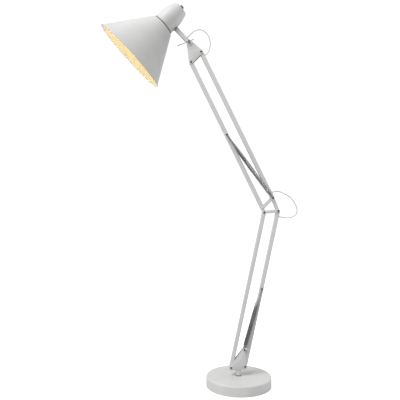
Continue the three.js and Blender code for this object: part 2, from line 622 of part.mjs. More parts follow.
addMesh('upper_flex', cordTube(upperFlex, 18), FLEX, upperRightFrame);
const stemFlex = [[stemPort, flexOut], [stemPort - 0.8, 4], [stemPort - 6, -0.8], [stemPort - 16, -1],
  [stemPort - 30, 0], [stemRoot, 0], [nubEnd - 6, 0]];
addMesh('stem_flex', cordTube(stemFlex, 12), FLEX, head);

const footLoop = [[0, spigotTop + GAP], [0, 78], [0, 88], [0, 98], [0, 109.5], [2, 117.3], [7.4, 124.7],
  [14.5, 128.8], [22.3, 129.9], [26.1, 129.4]];
addMesh('foot_loop', cordTube(footLoop, 12), FLEX);
const elbowLoop = [[152.6, 874.7], [166, 879.3], [184, 877.5], [202, 870], [222, 860], [239, 846],
  [252, 829], [261, 811], [264.5, 793], [259.5, 775], [246, 764], [228, 759], [206, 759.5], [183.5, 764]];
addMesh('elbow_loop', cordTube(elbowLoop, 34), FLEX);
const headLoop = [[-232.3, 1575.8], [-225.5, 1582], [-213.5, 1594], [-199, 1605.5], [-181, 1611],
  [-163, 1607.5], [-148, 1597], [-136.5, 1581], [-130, 1562], [-128.5, 1543], [-131, 1527], [-136, 1513],
  [-143, 1502.5], [-151.9, 1496.1]];
addMesh('head_loop', cordTube(headLoop, 30), FLEX);

export default group;
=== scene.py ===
# %% [markdown]
# # Adjustable arm floor lamp
# This lesson dresses a finished engineering model of a floor lamp. The model already holds every part in
# its true place and size, so each step below only makes a finer surface for a part and gives it a finish.
# Everything is in metres, Z is up, the front of the lamp looks towards -Y, and the arms swing in the
# plane Y = 0.

# %% Load the frame
import json

import bmesh
import bpy
import numpy as np
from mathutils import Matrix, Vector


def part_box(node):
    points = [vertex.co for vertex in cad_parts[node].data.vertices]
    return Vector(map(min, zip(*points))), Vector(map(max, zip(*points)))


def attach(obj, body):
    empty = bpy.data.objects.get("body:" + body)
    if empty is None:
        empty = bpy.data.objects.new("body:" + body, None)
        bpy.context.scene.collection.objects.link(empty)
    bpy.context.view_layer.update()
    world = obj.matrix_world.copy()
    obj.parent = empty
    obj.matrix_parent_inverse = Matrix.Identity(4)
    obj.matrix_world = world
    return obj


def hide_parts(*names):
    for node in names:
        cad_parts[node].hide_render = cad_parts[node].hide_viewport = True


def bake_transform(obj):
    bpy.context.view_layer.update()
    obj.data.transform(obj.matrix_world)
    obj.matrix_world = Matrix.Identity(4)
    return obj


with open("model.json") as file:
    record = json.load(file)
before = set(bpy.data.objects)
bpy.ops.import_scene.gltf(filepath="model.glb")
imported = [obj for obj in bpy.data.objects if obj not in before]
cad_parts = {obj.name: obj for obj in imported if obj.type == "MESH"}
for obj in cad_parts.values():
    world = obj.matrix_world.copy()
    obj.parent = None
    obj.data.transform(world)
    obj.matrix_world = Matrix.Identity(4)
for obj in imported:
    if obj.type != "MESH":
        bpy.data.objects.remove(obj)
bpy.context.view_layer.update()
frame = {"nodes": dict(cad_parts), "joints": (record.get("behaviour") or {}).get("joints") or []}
MM = 0.001

# %% [markdown]
# The hinges of the lamp are the best landmarks to build from, because every tube, plate and spring runs
# from one hinge to another. The frame gives the place and axis of each, so nothing has to be measured
# twice. Pins that are not a hinge of the tree are found from the middle of their own box.

# %% Landmarks
pivot = {j["name"]: np.array(j["pos_m"]) for j in frame["joints"] if j["type"] == "hinge"}
axis_of = {j["name"]: np.array(j["axis"], float) for j in frame["joints"]}


def unit(vector):
    """The vector divided by its length."""
    return np.asarray(vector, float) / np.linalg.norm(vector)


def middle(node):
    """The centre of a CAD node's box."""
    low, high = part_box(node)
    return (np.array(low) + np.array(high)) / 2


def depth(node):
    """The lowest and highest Y of a CAD node."""
    low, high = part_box(node)
    return low[1], high[1]


FRONT = np.array([0.0, -1.0, 0.0])
UP = np.array([0.0, 0.0, 1.0])
foot_left, foot_right = pivot["lower_arm_left"], pivot["lower_arm"]
foot_tip = pivot["lower_spring_foot_pin"]
elbow_left, elbow_right = middle("elbow_pin_left"), pivot["elbow_level"]
elbow_side, elbow_top = pivot["upper_arm_left"], pivot["upper_arm"]
head_left, head_right, clamp = middle("head_pin_left"), pivot["head_level"], pivot["head_tilt"]
shade_axis, stem_axis = unit(axis_of["switch_turn"]), unit(axis_of["shade_swivel"])
print("lower tubes", round(float(np.linalg.norm(elbow_right - foot_right)), 4), "m between pivots")
print("upper tubes", round(float(np.linalg.norm(head_right - elbow_top)), 4), "m between pivots")

# %% [markdown]
# The camera comes before any modelling, so that every later step is judged from the same place. It looks
# level at the lamp, from a little under half its height, with a moderately long lens, so that upright
# lines stay upright. Its height and a slight vertical shift set how much of the base's top shows.

# %% Camera
LENS_MM, SENSOR_MM = 45.33, 36
SHIFT = 0.0075
CAMERA_AT = (-0.175, -2.282, 0.826)
camera_data = bpy.data.cameras.new("camera")
camera_data.lens = LENS_MM
camera_data.sensor_width = SENSOR_MM
camera_data.shift_y = SHIFT
camera = bpy.data.objects.new("camera", camera_data)
camera.location = CAMERA_AT
camera.rotation_euler = (np.pi / 2, 0, 0)
bpy.context.scene.collection.objects.link(camera)
bpy.context.scene.camera = camera
print("camera at", CAMERA_AT, "lens", LENS_MM)

# %% [markdown]
# Two small helpers turn arrays into pieces. The first writes points and faces into a mesh, welds the
# points that fall on each other (the seam of a turned shape, and its poles), makes the faces point
# outwards and smooths them except at real edges. The second says which body of the lamp the piece rides
# on, which finish it has, and which plain part it stands for. Object coordinates are used by every
# finish, so all pieces stay at the origin.

# %% Piece helpers
WELD = 1e-6
SHARP_ANGLE = np.radians(38)


def mesh_piece(name, points, faces, groups=None):
    """Makes a mesh object from arrays: points (n, 3), faces (m, 3 or 4), groups the finish number of each
    face."""
    mesh = bpy.data.meshes.new(name)
    points, faces = np.asarray(points, float), np.asarray(faces, int)
    sides = faces.shape[1]
    mesh.vertices.add(len(points))
    mesh.vertices.foreach_set("co", points.ravel())
    mesh.loops.add(faces.size)
    mesh.loops.foreach_set("vertex_index", faces.ravel())
    mesh.polygons.add(len(faces))
    mesh.polygons.foreach_set("loop_start", np.arange(len(faces)) * sides)
    mesh.polygons.foreach_set("loop_total", np.full(len(faces), sides))
    mesh.update(calc_edges=True)
    if groups is not None:
        mesh.polygons.foreach_set("material_index", np.asarray(groups, int))
    form = bmesh.new()
    form.from_mesh(mesh)
    bmesh.ops.remove_doubles(form, verts=form.verts, dist=WELD)
    bmesh.ops.dissolve_degenerate(form, edges=form.edges, dist=WELD)
    bmesh.ops.recalc_face_normals(form, faces=form.faces)
    form.to_mesh(mesh)
    form.free()
    mesh.polygons.foreach_set("use_smooth", np.ones(len(mesh.polygons), bool))
    mesh.set_sharp_from_angle(angle=SHARP_ANGLE)
    piece = bpy.data.objects.new(name, mesh)
    bpy.context.scene.collection.objects.link(piece)
    return piece


def dress(piece, body, finishes, stands_for=()):
    """Gives a piece its finishes, the body it rides on and the plain parts it stands for."""
    for finish in finishes if isinstance(finishes, (list, tuple)) else [finishes]:
        piece.data.materials.append(finish)
    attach(piece, body)
    names = [stands_for] if isinstance(stands_for, str) else list(stands_for)
    if names:
        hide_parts(*names)
    return piece


def grid_faces(rows, columns, close_rows=False):
    """Quads between neighbouring points of a grid of closed rings, whose last ring may join the first."""
    r = np.arange(rows if close_rows else rows - 1)
    c = np.arange(columns)
    r, c = np.meshgrid(r, c, indexing="ij")
    r2, c2 = (r + 1) % rows, (c + 1) % columns
    quads = np.stack([r * columns + c, r * columns + c2, r2 * columns + c2, r2 * columns + c], -1)
    return quads.reshape(-1, 4)


# %% [markdown]
# Most of the lamp is turned work: the base, the shade, the cap, every pin and knob. A turned shape is a
# profile of (radius, height) pairs carried round an axis. Real turned edges are never knife sharp, so the
# profile's corners are first rounded with small arcs. The same idea with a rounded square in place of the
# circle gives the tubes.

# %% Turned shapes
def soften(profile, radius, steps=4):
    """Rounds each inner corner of an open (n, 2) outline: the corner is replaced by points of the
    quadratic curve that starts and ends `radius` before and after it, limited to 0.45 of either side."""
    profile = np.asarray(profile, float)
    radius = np.broadcast_to(radius, len(profile))
    out = [profile[:1]]
    t = np.linspace(0, 1, steps + 1)[:, None]
    for before, corner, after, r in zip(profile[:-2], profile[1:-1], profile[2:], radius[1:-1]):
        back, ahead = before - corner, after - corner
        a = corner + back * min(0.45, r / max(np.linalg.norm(back), 1e-9))
        b = corner + ahead * min(0.45, r / max(np.linalg.norm(ahead), 1e-9))
        out.append((1 - t) ** 2 * a + 2 * t * (1 - t) * corner + t**2 * b)
    out.append(profile[-1:])
    return np.concatenate(out)


def side_of(along):
    """Two directions square to `along`: one in the arms' plane if that is possible, and the third."""
    along = unit(along)
    helper = np.array([0.0, 1.0, 0.0]) if abs(along[1]) < 0.9 else UP
    side = unit(np.cross(helper, along))
    return side, np.cross(along, side)


def turned(profile, origin, along, segments=64, flutes=0, flute_depth=0.0, fluted=None):
    """Points and quads of a profile turned about an axis: origin + height * along + radius * (cos, sin)
    in the plane square to it. Where `fluted` is true the radius also waves `flutes` times round by
    flute_depth."""
    profile = np.asarray(profile, float)
    angle = np.linspace(0, 2 * np.pi, segments, endpoint=False)
    wave = flute_depth * (np.cos(flutes * angle) - 1) / 2
    mask = np.zeros(len(profile)) if fluted is None else np.asarray(fluted, float)
    radius = profile[:, :1] + mask[:, None] * wave
    side, third = side_of(along)
    ring = np.cos(angle)[:, None] * side + np.sin(angle)[:, None] * third
    points = np.asarray(origin) + profile[:, 1, None, None] * unit(along) + radius[..., None] * ring
    return points.reshape(-1, 3), grid_faces(len(profile), segments)


def turned_piece(name, profile, origin, along, body, finishes, slot, stands_for=(), groups=None, **how):
    """A turned piece in one call; groups gives the finish number of each profile step."""
    points, faces = turned(profile, origin, along, **how)
    numbers = None if groups is None else np.repeat(groups, how.get("segments", 64))
    return dress(mesh_piece(name, points, faces, numbers), body, finishes, stands_for)


def arc(centre, radius, start, end, steps=8):
    """Points of a circular arc in (radius, height), angles in degrees."""
    t = np.radians(np.linspace(start, end, steps + 1))
    return np.stack([centre[0] + radius * np.cos(t), centre[1] + radius * np.sin(t)], 1)


def ring_section(inside, outside, low, high):
    """A closed rectangular profile, for a ring between two radii and two heights."""
    return [[inside, low], [outside, low], [outside, high], [inside, high], [inside, low]]


print("helpers ready")

# %% [markdown]
# ## Finishes
# Every finish is worked out from nodes. A powder coat is never one flat value: its colour drifts a
# little, its gloss varies, and its skin has a fine orange-peel texture. One function makes every coated,
# moulded or plated finish from a few numbers, because they all share this recipe.

# %% Finish helpers
NOISE_ROUGHNESS = 0.55
RAMP_STOPS = (0.35, 0.65)
DRIFT_WAVES = 14  # per metre


def new_finish(name):
    """An empty node material with its shader; returns the material, its nodes, its links and the
    shader."""
    material = bpy.data.materials.new(name)
    material.use_nodes = True
    nodes, links = material.node_tree.nodes, material.node_tree.links
    return material, nodes, links, nodes["Principled BSDF"]


def noise(nodes, links, scale, detail):
    """Noise on Object coordinates, in waves per metre."""
    where = nodes.new("ShaderNodeTexCoord")
    texture = nodes.new("ShaderNodeTexNoise")
    texture.inputs["Scale"].default_value = scale
    texture.inputs["Detail"].default_value = detail
    texture.inputs["Roughness"].default_value = NOISE_ROUGHNESS
    links.new(where.outputs["Object"], texture.inputs["Vector"])
    return texture.outputs["Fac"]


def ramp(nodes, links, value, low, high):
    """Turns a 0 to 1 value into a colour between low and high."""
    node = nodes.new("ShaderNodeValToRGB")
    for element, place, colour in zip(node.color_ramp.elements, RAMP_STOPS, (low, high)):
        element.position = place
        element.color = (*colour, 1)
    links.new(value, node.inputs["Fac"])
    return node.outputs["Color"]


def spread(nodes, links, value, low, high):
    """Maps a 0 to 1 value onto the range low to high."""
    node = nodes.new("ShaderNodeMapRange")
    node.inputs["To Min"].default_value = low
    node.inputs["To Max"].default_value = high
    links.new(value, node.inputs["Value"])
    return node.outputs["Result"]


def bump(nodes, links, height, strength, distance, before=None):
    """A bump from a height value, on top of an earlier one."""
    node = nodes.new("ShaderNodeBump")
    node.inputs["Strength"].default_value = strength
    node.inputs["Distance"].default_value = distance
    links.new(height, node.inputs["Height"])
    if before is not None:
        links.new(before, node.inputs["Normal"])
    return node.outputs["Normal"]


def coated(name, colour, drift, gloss, peel, grain=0.0, metal=0.0, coat=0.0):
    """A paint, plastic or metal skin: `drift` is how much its colour wanders, gloss its (low, high)
    roughness, peel the (waves per metre, depth in metres) of its texture, and grain the depth of a finer
    one on top."""
    material, nodes, links, shader = new_finish(name)
    colour = np.array(colour, float)
    broad = noise(nodes, links, DRIFT_WAVES, 4)
    links.new(ramp(nodes, links, broad, colour * (1 - drift), np.minimum(colour * (1 + drift), 1)),
              shader.inputs["Base Color"])
    fine = noise(nodes, links, peel[0], 2)
    speckle = noise(nodes, links, peel[0] * 0.22, 3)
    links.new(spread(nodes, links, speckle, *gloss), shader.inputs["Roughness"])
    normal = bump(nodes, links, fine, 0.35, peel[1])
    if grain:
        normal = bump(nodes, links, noise(nodes, links, peel[0] * 3.1, 2), 0.3, grain, normal)
    links.new(normal, shader.inputs["Normal"])
    shader.inputs["Metallic"].default_value = metal
    shader.inputs["Coat Weight"].default_value = coat
    shader.inputs["Coat Roughness"].default_value = 0.2
    return material


# %% [markdown]
# The lamp is sprayed a light, slightly warm grey all over, inside the shade a creamier white that looks
# golden when the bulb is lit; that lining colour is partly its own cream and partly painted warm light of
# the bulb. Pins, rings and the switch are blackened steel or black plastic. The springs are drawn wire,
# and the clamp bar is plated. Colours are linear values, so the paint's 0.56 looks like a light grey.

# %% Finishes of this lamp
PAINT = coated("light_grey_powder_coat", (0.56, 0.56, 0.555), 0.025, (0.46, 0.6), (900, 0.00012), 0.00002)
ROUGH_BASE = coated("base_powder_coat", (0.56, 0.56, 0.555), 0.03, (0.42, 0.56), (700, 0.0002), 0.00003)
# The lining colour: its own cream, made brighter and yellower as painted warm light of the bulb.
INSIDE = coated("cream_lining_with_painted_bulb_light", (0.84, 0.77, 0.55), 0.02, (0.5, 0.62), (600, 0.00012))
BLACK = coated("black_plastic", (0.012, 0.012, 0.013), 0.15, (0.42, 0.56), (1500, 0.0001), 0.00002)
BLACKENED = coated("blackened_steel", (0.03, 0.03, 0.032), 0.2, (0.28, 0.42), (900, 0.00006), metal=0.6)
PLATED = coated("plated_steel", (0.27, 0.27, 0.28), 0.06, (0.2, 0.34), (500, 0.00004), metal=1.0)
SPRING_WIRE = coated("spring_wire", (0.28, 0.28, 0.285), 0.12, (0.28, 0.42), (700, 0.00004), metal=1.0)
NYLON = coated("grey_nylon", (0.5, 0.5, 0.49), 0.04, (0.45, 0.6), (1200, 0.00008))
DARK_NYLON = coated("dark_grey_nylon", (0.28, 0.28, 0.28), 0.06, (0.45, 0.6), (1200, 0.00008))
FLEX = coated("white_flex", (0.50, 0.50, 0.49), 0.03, (0.38, 0.5), (800, 0.00008))
IRON = coated("cast_iron", (0.06, 0.06, 0.06), 0.2, (0.6, 0.85), (260, 0.0008), 0.0002, metal=0.5)
RUBBER = coated("rubber_pad", (0.03, 0.03, 0.03), 0.15, (0.8, 0.95), (500, 0.0003), 0.00006)
PORCELAIN = coated("glazed_holder", (0.78, 0.77, 0.73), 0.02, (0.12, 0.22), (200, 0.00006), coat=0.5)
BRASS = coated("nickel_brass", (0.62, 0.56, 0.42), 0.06, (0.22, 0.36), (600, 0.00004), metal=1.0)


BULB_GLOW = 16.0


def lit_bulb():
    """Opal glass that glows warm, a little brighter and yellower in slow clouds."""
    material, nodes, links, shader = new_finish("lit_opal_glass")
    clouds = noise(nodes, links, 25, 3)
    glow = ramp(nodes, links, clouds, (1.0, 0.70, 0.30), (1.0, 0.76, 0.36))
    glass = ramp(nodes, links, clouds, (0.9, 0.86, 0.78), (0.95, 0.92, 0.84))
    links.new(glow, shader.inputs["Emission Color"])
    links.new(glass, shader.inputs["Base Color"])
    shader.inputs["Emission Strength"].default_value = BULB_GLOW
    shader.inputs["Roughness"].default_value = 0.25
    return material


OPAL = lit_bulb()
print("finishes:", len(bpy.data.materials))

# %% [markdown]
# ## Flex
# A thin white flex runs inside the right-hand tubes and comes out in three free loops: behind the foot
# plates, at the elbow and at the head. Such a loop is left long so that the joint can move, so it is one
# smooth elastic curve from port to port. Each loop is made as two halves that meet in its middle. A half
# whose two ends lie on one body rides on it, any other half stays where it is, and both stand for the
# same plain solid. The points are the ones the frame's loop uses.

# %% Loop routes and the tube along a path
FLEX_R = 2.1 * MM
FOOT_LOOP = [[0, 67.3], [0, 78], [0, 88], [0, 98], [0, 109.5], [2, 117.3], [7.4, 124.7], [14.5, 128.8],
             [22.3, 129.9], [26.1, 129.4]]
ELBOW_LOOP = [[152.6, 874.7], [166, 879.3], [184, 877.5], [202, 870], [222, 860], [239, 846], [252, 829],
              [261, 811], [264.5, 793], [259.5, 775], [246, 764], [228, 759], [206, 759.5], [183.5, 764]]
HEAD_LOOP = [[-232.3, 1575.8], [-225.5, 1582], [-213.5, 1594], [-199, 1605.5], [-181, 1611], [-163, 1607.5],
             [-148, 1597], [-136.5, 1581], [-130, 1562], [-128.5, 1543], [-131, 1527], [-136, 1513],
             [-143, 1502.5], [-151.9, 1496.1]]


def smooth_path(points, per_step=12):
    """A centripetal Catmull-Rom curve through (X, Z) points in millimetres, as (X, 0, Z) points in
    metres: between two chosen points it is the usual pyramid of blends, with knots spaced by the square
    root of the distance."""
    p = np.array([[x, 0, z] for x, z in points], float) * MM
    p = np.concatenate([[2 * p[0] - p[1]], p, [2 * p[-1] - p[-2]]])
    out = []
    for a, b, c, d in zip(p[:-3], p[1:-2], p[2:-1], p[3:]):
        k = np.concatenate([[0], np.cumsum([np.linalg.norm(v) ** 0.5 for v in (b - a, c - b, d - c)])])
        t = np.linspace(k[1], k[2], per_step, endpoint=False)[:, None]
        ab = (k[1] - t) / (k[1] - k[0]) * a + (t - k[0]) / (k[1] - k[0]) * b
        bc = (k[2] - t) / (k[2] - k[1]) * b + (t - k[1]) / (k[2] - k[1]) * c
        cd = (k[3] - t) / (k[3] - k[2]) * c + (t - k[2]) / (k[3] - k[2]) * d
        abc = (k[2] - t) / (k[2] - k[0]) * ab + (t - k[0]) / (k[2] - k[0]) * bc
        bcd = (k[3] - t) / (k[3] - k[1]) * bc + (t - k[1]) / (k[3] - k[1]) * cd
        out.append((k[2] - t) / (k[2] - k[1]) * abc + (t - k[1]) / (k[2] - k[1]) * bcd)
    return np.concatenate(out + [p[-2:-1]])


def length_of(path):
    """The length of a path of points."""
    return float(np.linalg.norm(np.diff(path, axis=0), axis=1).sum())


def carried(path, radius, sides=16):
    """Points and quads of a round bar along a path. The section is carried without twist: each step turns
    the last side vector just enough to stay square to the path. Both ends are closed flat, with a
    pole."""
    path = np.asarray(path, float)
    radius = np.broadcast_to(radius, len(path))
    tangent = np.gradient(path, axis=0)
    tangent /= np.linalg.norm(tangent, axis=1)[:, None]
    side = np.empty_like(path)
    side[0] = side_of(tangent[0])[0]
    for i in range(1, len(path)):
        square = side[i - 1] - tangent[i] * (side[i - 1] @ tangent[i])
        side[i] = square / np.linalg.norm(square)
    third = np.cross(tangent, side)
    angle = np.linspace(0, 2 * np.pi, sides, endpoint=False)
    ring = np.cos(angle)[:, None] * side[:, None] + np.sin(angle)[:, None] * third[:, None]
    body = path[:, None] + radius[:, None, None] * ring
    first, last = (np.repeat(path[i][None, None], sides, 1) for i in (0, -1))
    body = np.concatenate([first, body, last])
    return body.reshape(-1, 3), grid_faces(len(body), sides)


print("elbow loop", round(length_of(smooth_path(ELBOW_LOOP)), 3), "m")

# %% Loops in two halves
def flex_half(name, path, first_body, second_body, stands_for):
    """One half of a loop: it rides on first_body when both bodies are the same, and otherwise stays where it
    is."""
    piece = mesh_piece(name, *carried(path, FLEX_R))
    piece.data.materials.append(FLEX)
    if first_body == second_body:
        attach(piece, first_body)
    else:
        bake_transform(piece)
    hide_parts(stands_for)
    return piece


def flex_loop(name, route, bodies, stands_for):
    """A loop cut in its middle; bodies are those at its start, middle and end."""
    path = smooth_path(route)
    cut = len(path) // 2
    flex_half(name + "_first", path[:cut + 1], bodies[0], bodies[1], stands_for)
    flex_half(name + "_second", path[cut:][::-1], bodies[2], bodies[1], stands_for)
    print(name, round(length_of(path), 3), "m")


flex_loop("elbow_flex", ELBOW_LOOP, ("upper_right_arm", "elbow", "lower_right_arm"), "elbow_loop")
flex_loop("head_flex", HEAD_LOOP, ("stem", "head_bracket", "upper_right_arm"), "head_loop")
flex_loop("foot_flex", FOOT_LOOP, ("swivel", "swivel", "lower_right_arm"), "foot_loop")

# %% [markdown]
# ## The base
# The base is a spun steel drum with a rounded edge, pulled over an iron disc. It could be a cylinder with
# a bevel, but a turned profile also gives the wall its thickness and the hole for the spigot. The rubber
# pad, the iron and the steel inside keep their plain shapes.

# %% Base
floor_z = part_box("base_pad")[0][2]
low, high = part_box("base_cover")
base_r, cover_low, cover_high = high[0], low[2], high[2]
COVER_WALL = 2.5 * MM
EDGE = 6 * MM
SPIGOT_BORE, RING_BORE = 7.45 * MM, 7.4 * MM
cover_profile = np.concatenate([
    [[base_r - COVER_WALL, cover_low], [base_r, cover_low], [base_r, cover_high - EDGE]],
    arc((base_r - EDGE, cover_high - EDGE), EDGE, 5, 90, 10),
    [[SPIGOT_BORE, cover_high], [SPIGOT_BORE, cover_high - COVER_WALL]],
    [[base_r - EDGE, cover_high - COVER_WALL], [base_r - COVER_WALL, cover_high - EDGE],
     [base_r - COVER_WALL, cover_low]],
])
turned_piece("base_shell", cover_profile, (0, 0, 0), UP, "base", ROUGH_BASE, "paint", "base_cover",
             segments=160)

inlet_y, inlet_z = depth("cable_inlet")[1], middle("cable_inlet")[2]
bush_profile = soften(np.array([[3.1, -12], [3.1, 0], [4.6, 0], [7, -0.6], [7, -2.7], [5.2, -2.7],
                                [5.2, -12]]) * MM, 0.5 * MM, 3)
turned_piece("inlet_bush", bush_profile, (0, inlet_y, inlet_z), (0, 1, 0), "base", BLACK, "black_plastic",
             "cable_inlet", segments=40)
low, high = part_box("swivel_ring")
ring_profile = soften(ring_section(RING_BORE, high[0], low[2], high[2]), 0.4 * MM, 3)
turned_piece("slip_ring", ring_profile, (0, 0, 0), UP, "base", BLACK, "black_plastic", "swivel_ring",
             segments=64)
print("base radius", round(base_r, 4), "height", round(cover_high - floor_z, 4))

# %% [markdown]
# ## Plates
# Flat brackets join the tubes: two at the foot, two open frames at the elbow and two at the head. Each
# outline is the tightest band round two or more discs, which is how such links are drawn, and its edge is
# broken by a small round. The outline is worked out once for each level of that edge with smaller or
# larger discs, and the levels are joined into one surface. The elbow's open window is the same outline
# made from inset corners.

# %% Plate surfaces
PLATE_EDGE = 0.5 * MM


def band(discs, grow=0.0, per_disc=12):
    """Outline (n, 2) round discs (x, z, r) listed counter-clockwise: on each disc an arc between the two
    common tangents. The tangent's direction is square to the line of centres, turned by the difference of
    the radii."""
    discs = np.asarray(discs, float)
    after = np.roll(discs, -1, 0)
    run = after[:, :2] - discs[:, :2]
    turn = np.arcsin((discs[:, 2] - after[:, 2]) / np.linalg.norm(run, axis=1))
    leave = np.arctan2(run[:, 1], run[:, 0]) - np.pi / 2 + turn
    arrive = np.roll(leave, 1)
    sweep = (leave - arrive) % (2 * np.pi)
    t = np.linspace(0, 1, per_disc)
    angle = arrive[:, None] + sweep[:, None] * t
    radius = discs[:, 2, None] + grow
    outline = discs[:, None, :2] + radius[..., None] * np.stack([np.cos(angle), np.sin(angle)], -1)
    return outline.reshape(-1, 2)


def inset_corners(corners, distance):
    """Corners of a convex outline whose sides are moved inwards: each corner slides along its
    bisector."""
    corners = np.asarray(corners, float)
    before, after = corners - np.roll(corners, 1, 0), np.roll(corners, -1, 0) - corners
    first = np.arctan2(before[:, 1], before[:, 0]) + np.pi / 2
    half = ((np.arctan2(after[:, 1], after[:, 0]) + np.pi / 2 - first + np.pi) % (2 * np.pi) - np.pi) / 2
    reach = distance / np.cos(half)
    return corners + reach[:, None] * np.stack([np.cos(first + half), np.sin(first + half)], -1)


def levels(outlines, heights):
    """Stacks (n, 2) outlines in the arms' plane at their Y heights into one array of rings."""
    return np.stack([np.stack([o[:, 0], np.full(len(o), y), o[:, 1]], -1) for o, y in zip(outlines, heights)])


def plate_piece(name, discs, y_range, body, stands_for, window):
    """A plate with softly broken edges; `window` gives the discs of an opening, or None."""
    near, far = y_range
    steps = [(-PLATE_EDGE, near), (-0.3 * PLATE_EDGE, near + 0.3 * PLATE_EDGE), (0, near + PLATE_EDGE),
             (0, far - PLATE_EDGE), (-0.3 * PLATE_EDGE, far - 0.3 * PLATE_EDGE), (-PLATE_EDGE, far)]
    outer = [band(discs, grow) for grow, _ in steps]
    if window is None:
        centre = np.mean([d[:2] for d in discs], axis=0)
        point = np.repeat(centre[None], len(outer[0]), 0)
        rings = levels([point, *outer, point], [near] + [y for _, y in steps] + [far])
        faces = grid_faces(len(rings), rings.shape[1])
    else:
        inner = [band(window, -grow) for grow, _ in reversed(steps)]
        rings = levels([*outer, *inner], [y for _, y in steps] + [y for _, y in reversed(steps)])
        faces = grid_faces(len(rings), rings.shape[1], close_rows=True)
    piece = mesh_piece(name, rings.reshape(-1, 3), faces)
    return dress(piece, body, PAINT, stands_for)


def disc(point, radius, shift=(0, 0)):
    """A disc (x, z, r) about a pivot, with a shift in millimetres."""
    return (point[0] + shift[0] * MM, point[2] + shift[1] * MM, radius * MM)


STRUT, WINDOW_R = 6.6, 2.0  # disc radii in millimetres
FOOT_R, TIP_R, HEAD_DISC_R, CLAMP_R = 11, 5.5, 8.5, 11
elbow_corners = [elbow_left, elbow_right, elbow_top, elbow_side]
window_at = inset_corners([(p[0], p[2]) for p in elbow_corners], (STRUT + WINDOW_R) * MM)
elbow_window = [(x, z, WINDOW_R * MM) for x, z in window_at]
brackets = {
    "foot_plate": ("swivel", [disc(foot_left, FOOT_R, (1.5, -1.5)), disc(foot_right, FOOT_R, (-1.5, -3.5)),
                              disc(foot_tip, TIP_R)], None),
    "elbow_frame": ("elbow", [disc(p, STRUT) for p in elbow_corners], elbow_window),
    "head_plate": ("head_bracket", [disc(head_left, HEAD_DISC_R), disc(head_right, HEAD_DISC_R),
                                    disc(clamp, CLAMP_R)], None),
}
for name, (body, discs, window) in brackets.items():
    for side in ("front", "rear"):
        node = f"{name}_{side}"
        plate_piece(node + "_coated", discs, depth(node), body, node, window)
print("brackets:", len(brackets), "pairs")

# %% [markdown]
# ## Tubes
# The four arm tubes are square steel tube with soft corners, and their ends are rounded about the pivots
# so that they clear each other as the arms fold. The surface is a rounded square carried from end to end.
# The length of every line along the tube depends on how far it lies from the middle, which gives the
# round end in one formula. A plastic plug closes each end, with the same round shape a little smaller.

# %% Tubes and plugs
TUBE = 18 * MM
TUBE_WALL = 1.3 * MM
CORNER = 2.6 * MM
END_NICK = 0.25 * MM  # the round of a cut end
PLUG_DEPTH, PLUG_GAP, PLUG_INSET, PLUG_EDGE = 13 * MM, 0.1 * MM, 0.9 * MM, 0.5 * MM
PLUG_RINGS = ((0, True), (1, True), (1, False), (0.93, False), (0.6, False), (0.3, False), (0, False))


def rounded_square(width, corner, per_corner=7):
    """Outline (n, 2) of a rounded square, counter-clockwise: four quarter arcs about the inner
    corners."""
    inner = width / 2 - corner
    t = np.linspace(0, np.pi / 2, per_corner)
    start = np.pi * np.array([-1, -0.5, 0, 0.5])[:, None]
    centre = inner * np.array([[-1, -1], [1, -1], [1, 1], [-1, 1]])[:, None]
    angle = start + t
    return (centre + corner * np.stack([np.cos(angle), np.sin(angle)], -1)).reshape(-1, 2)


def round_end(x, radius):
    """How far an end rounded about the pivot reaches past it at a distance x from the middle line."""
    return np.sqrt(np.maximum(radius**2 - x**2, 0))


def to_world(local, origin, along):
    """Local (side, depth, along) points in the row frame, where depth is Y."""
    along = unit(along)
    side = np.array([along[2], 0, -along[0]])
    axes = np.stack([side, [0, 1, 0], along])
    return np.asarray(origin) + local @ axes


def carried_piece(name, stations, origin, along, close_rows=False):
    """A mesh from (outline, height) pairs along a direction, where a height may differ round its outline."""
    rings = np.stack([np.column_stack([o, np.broadcast_to(z, len(o))]) for o, z in stations])
    points = to_world(rings.reshape(-1, 3), origin, along)
    return mesh_piece(name, points, grid_faces(len(rings), rings.shape[1], close_rows))


def tube_piece(name, start, end, body, stands_for):
    """A hollow tube between two pivots with round ends."""
    outer = rounded_square(TUBE, CORNER)
    inner = rounded_square(TUBE - 2 * TUBE_WALL, CORNER - TUBE_WALL)
    edge = 0.5 * (outer + inner)
    length = np.linalg.norm(end - start)
    reach = round_end(outer[:, 0], TUBE / 2)
    foot, top, half = -reach, length + reach, 0.5 * length
    stations = [(outer, foot + END_NICK), (outer, half), (outer, top - END_NICK), (edge, top),
                (inner, top - END_NICK), (inner, half), (inner, foot + END_NICK), (edge, foot)]
    piece = carried_piece(name, stations, start, end - start, close_rows=True)
    return dress(piece, body, PAINT, stands_for)


def plug_piece(name, pivot_at, outwards, body):
    """The plug in a tube's end: the bore's section from inside the tube to a round end, each ring a share of
    the section, either at the plug's inner end or on its round one."""
    section = rounded_square(TUBE - 2 * TUBE_WALL - 2 * PLUG_GAP, CORNER - TUBE_WALL)
    stations = []
    for share, inside in PLUG_RINGS:
        lift = round_end(section[:, 0] * share, TUBE / 2 - PLUG_INSET) - (PLUG_EDGE if share == 1 else 0)
        stations.append((section * share, -PLUG_DEPTH if inside else lift))
    return dress(carried_piece(name, stations, pivot_at, outwards), body, NYLON)


arms = {
    "lower_tube_left": (foot_left, elbow_left, "lower_left_arm"),
    "lower_tube_right": (foot_right, elbow_right, "lower_right_arm"),
    "upper_tube_left": (elbow_side, head_left, "upper_left_arm"),
    "upper_tube_right": (elbow_top, head_right, "upper_right_arm"),
}
for name, (start, end, body) in arms.items():
    tube_piece(name + "_coated", start, end, body, name)
    plug_piece(name + "_foot_plug", start, start - end, body)
    plug_piece(name + "_top_plug", end, end - start, body)
print("tubes:", len(arms), "with", 2 * len(arms), "plugs")

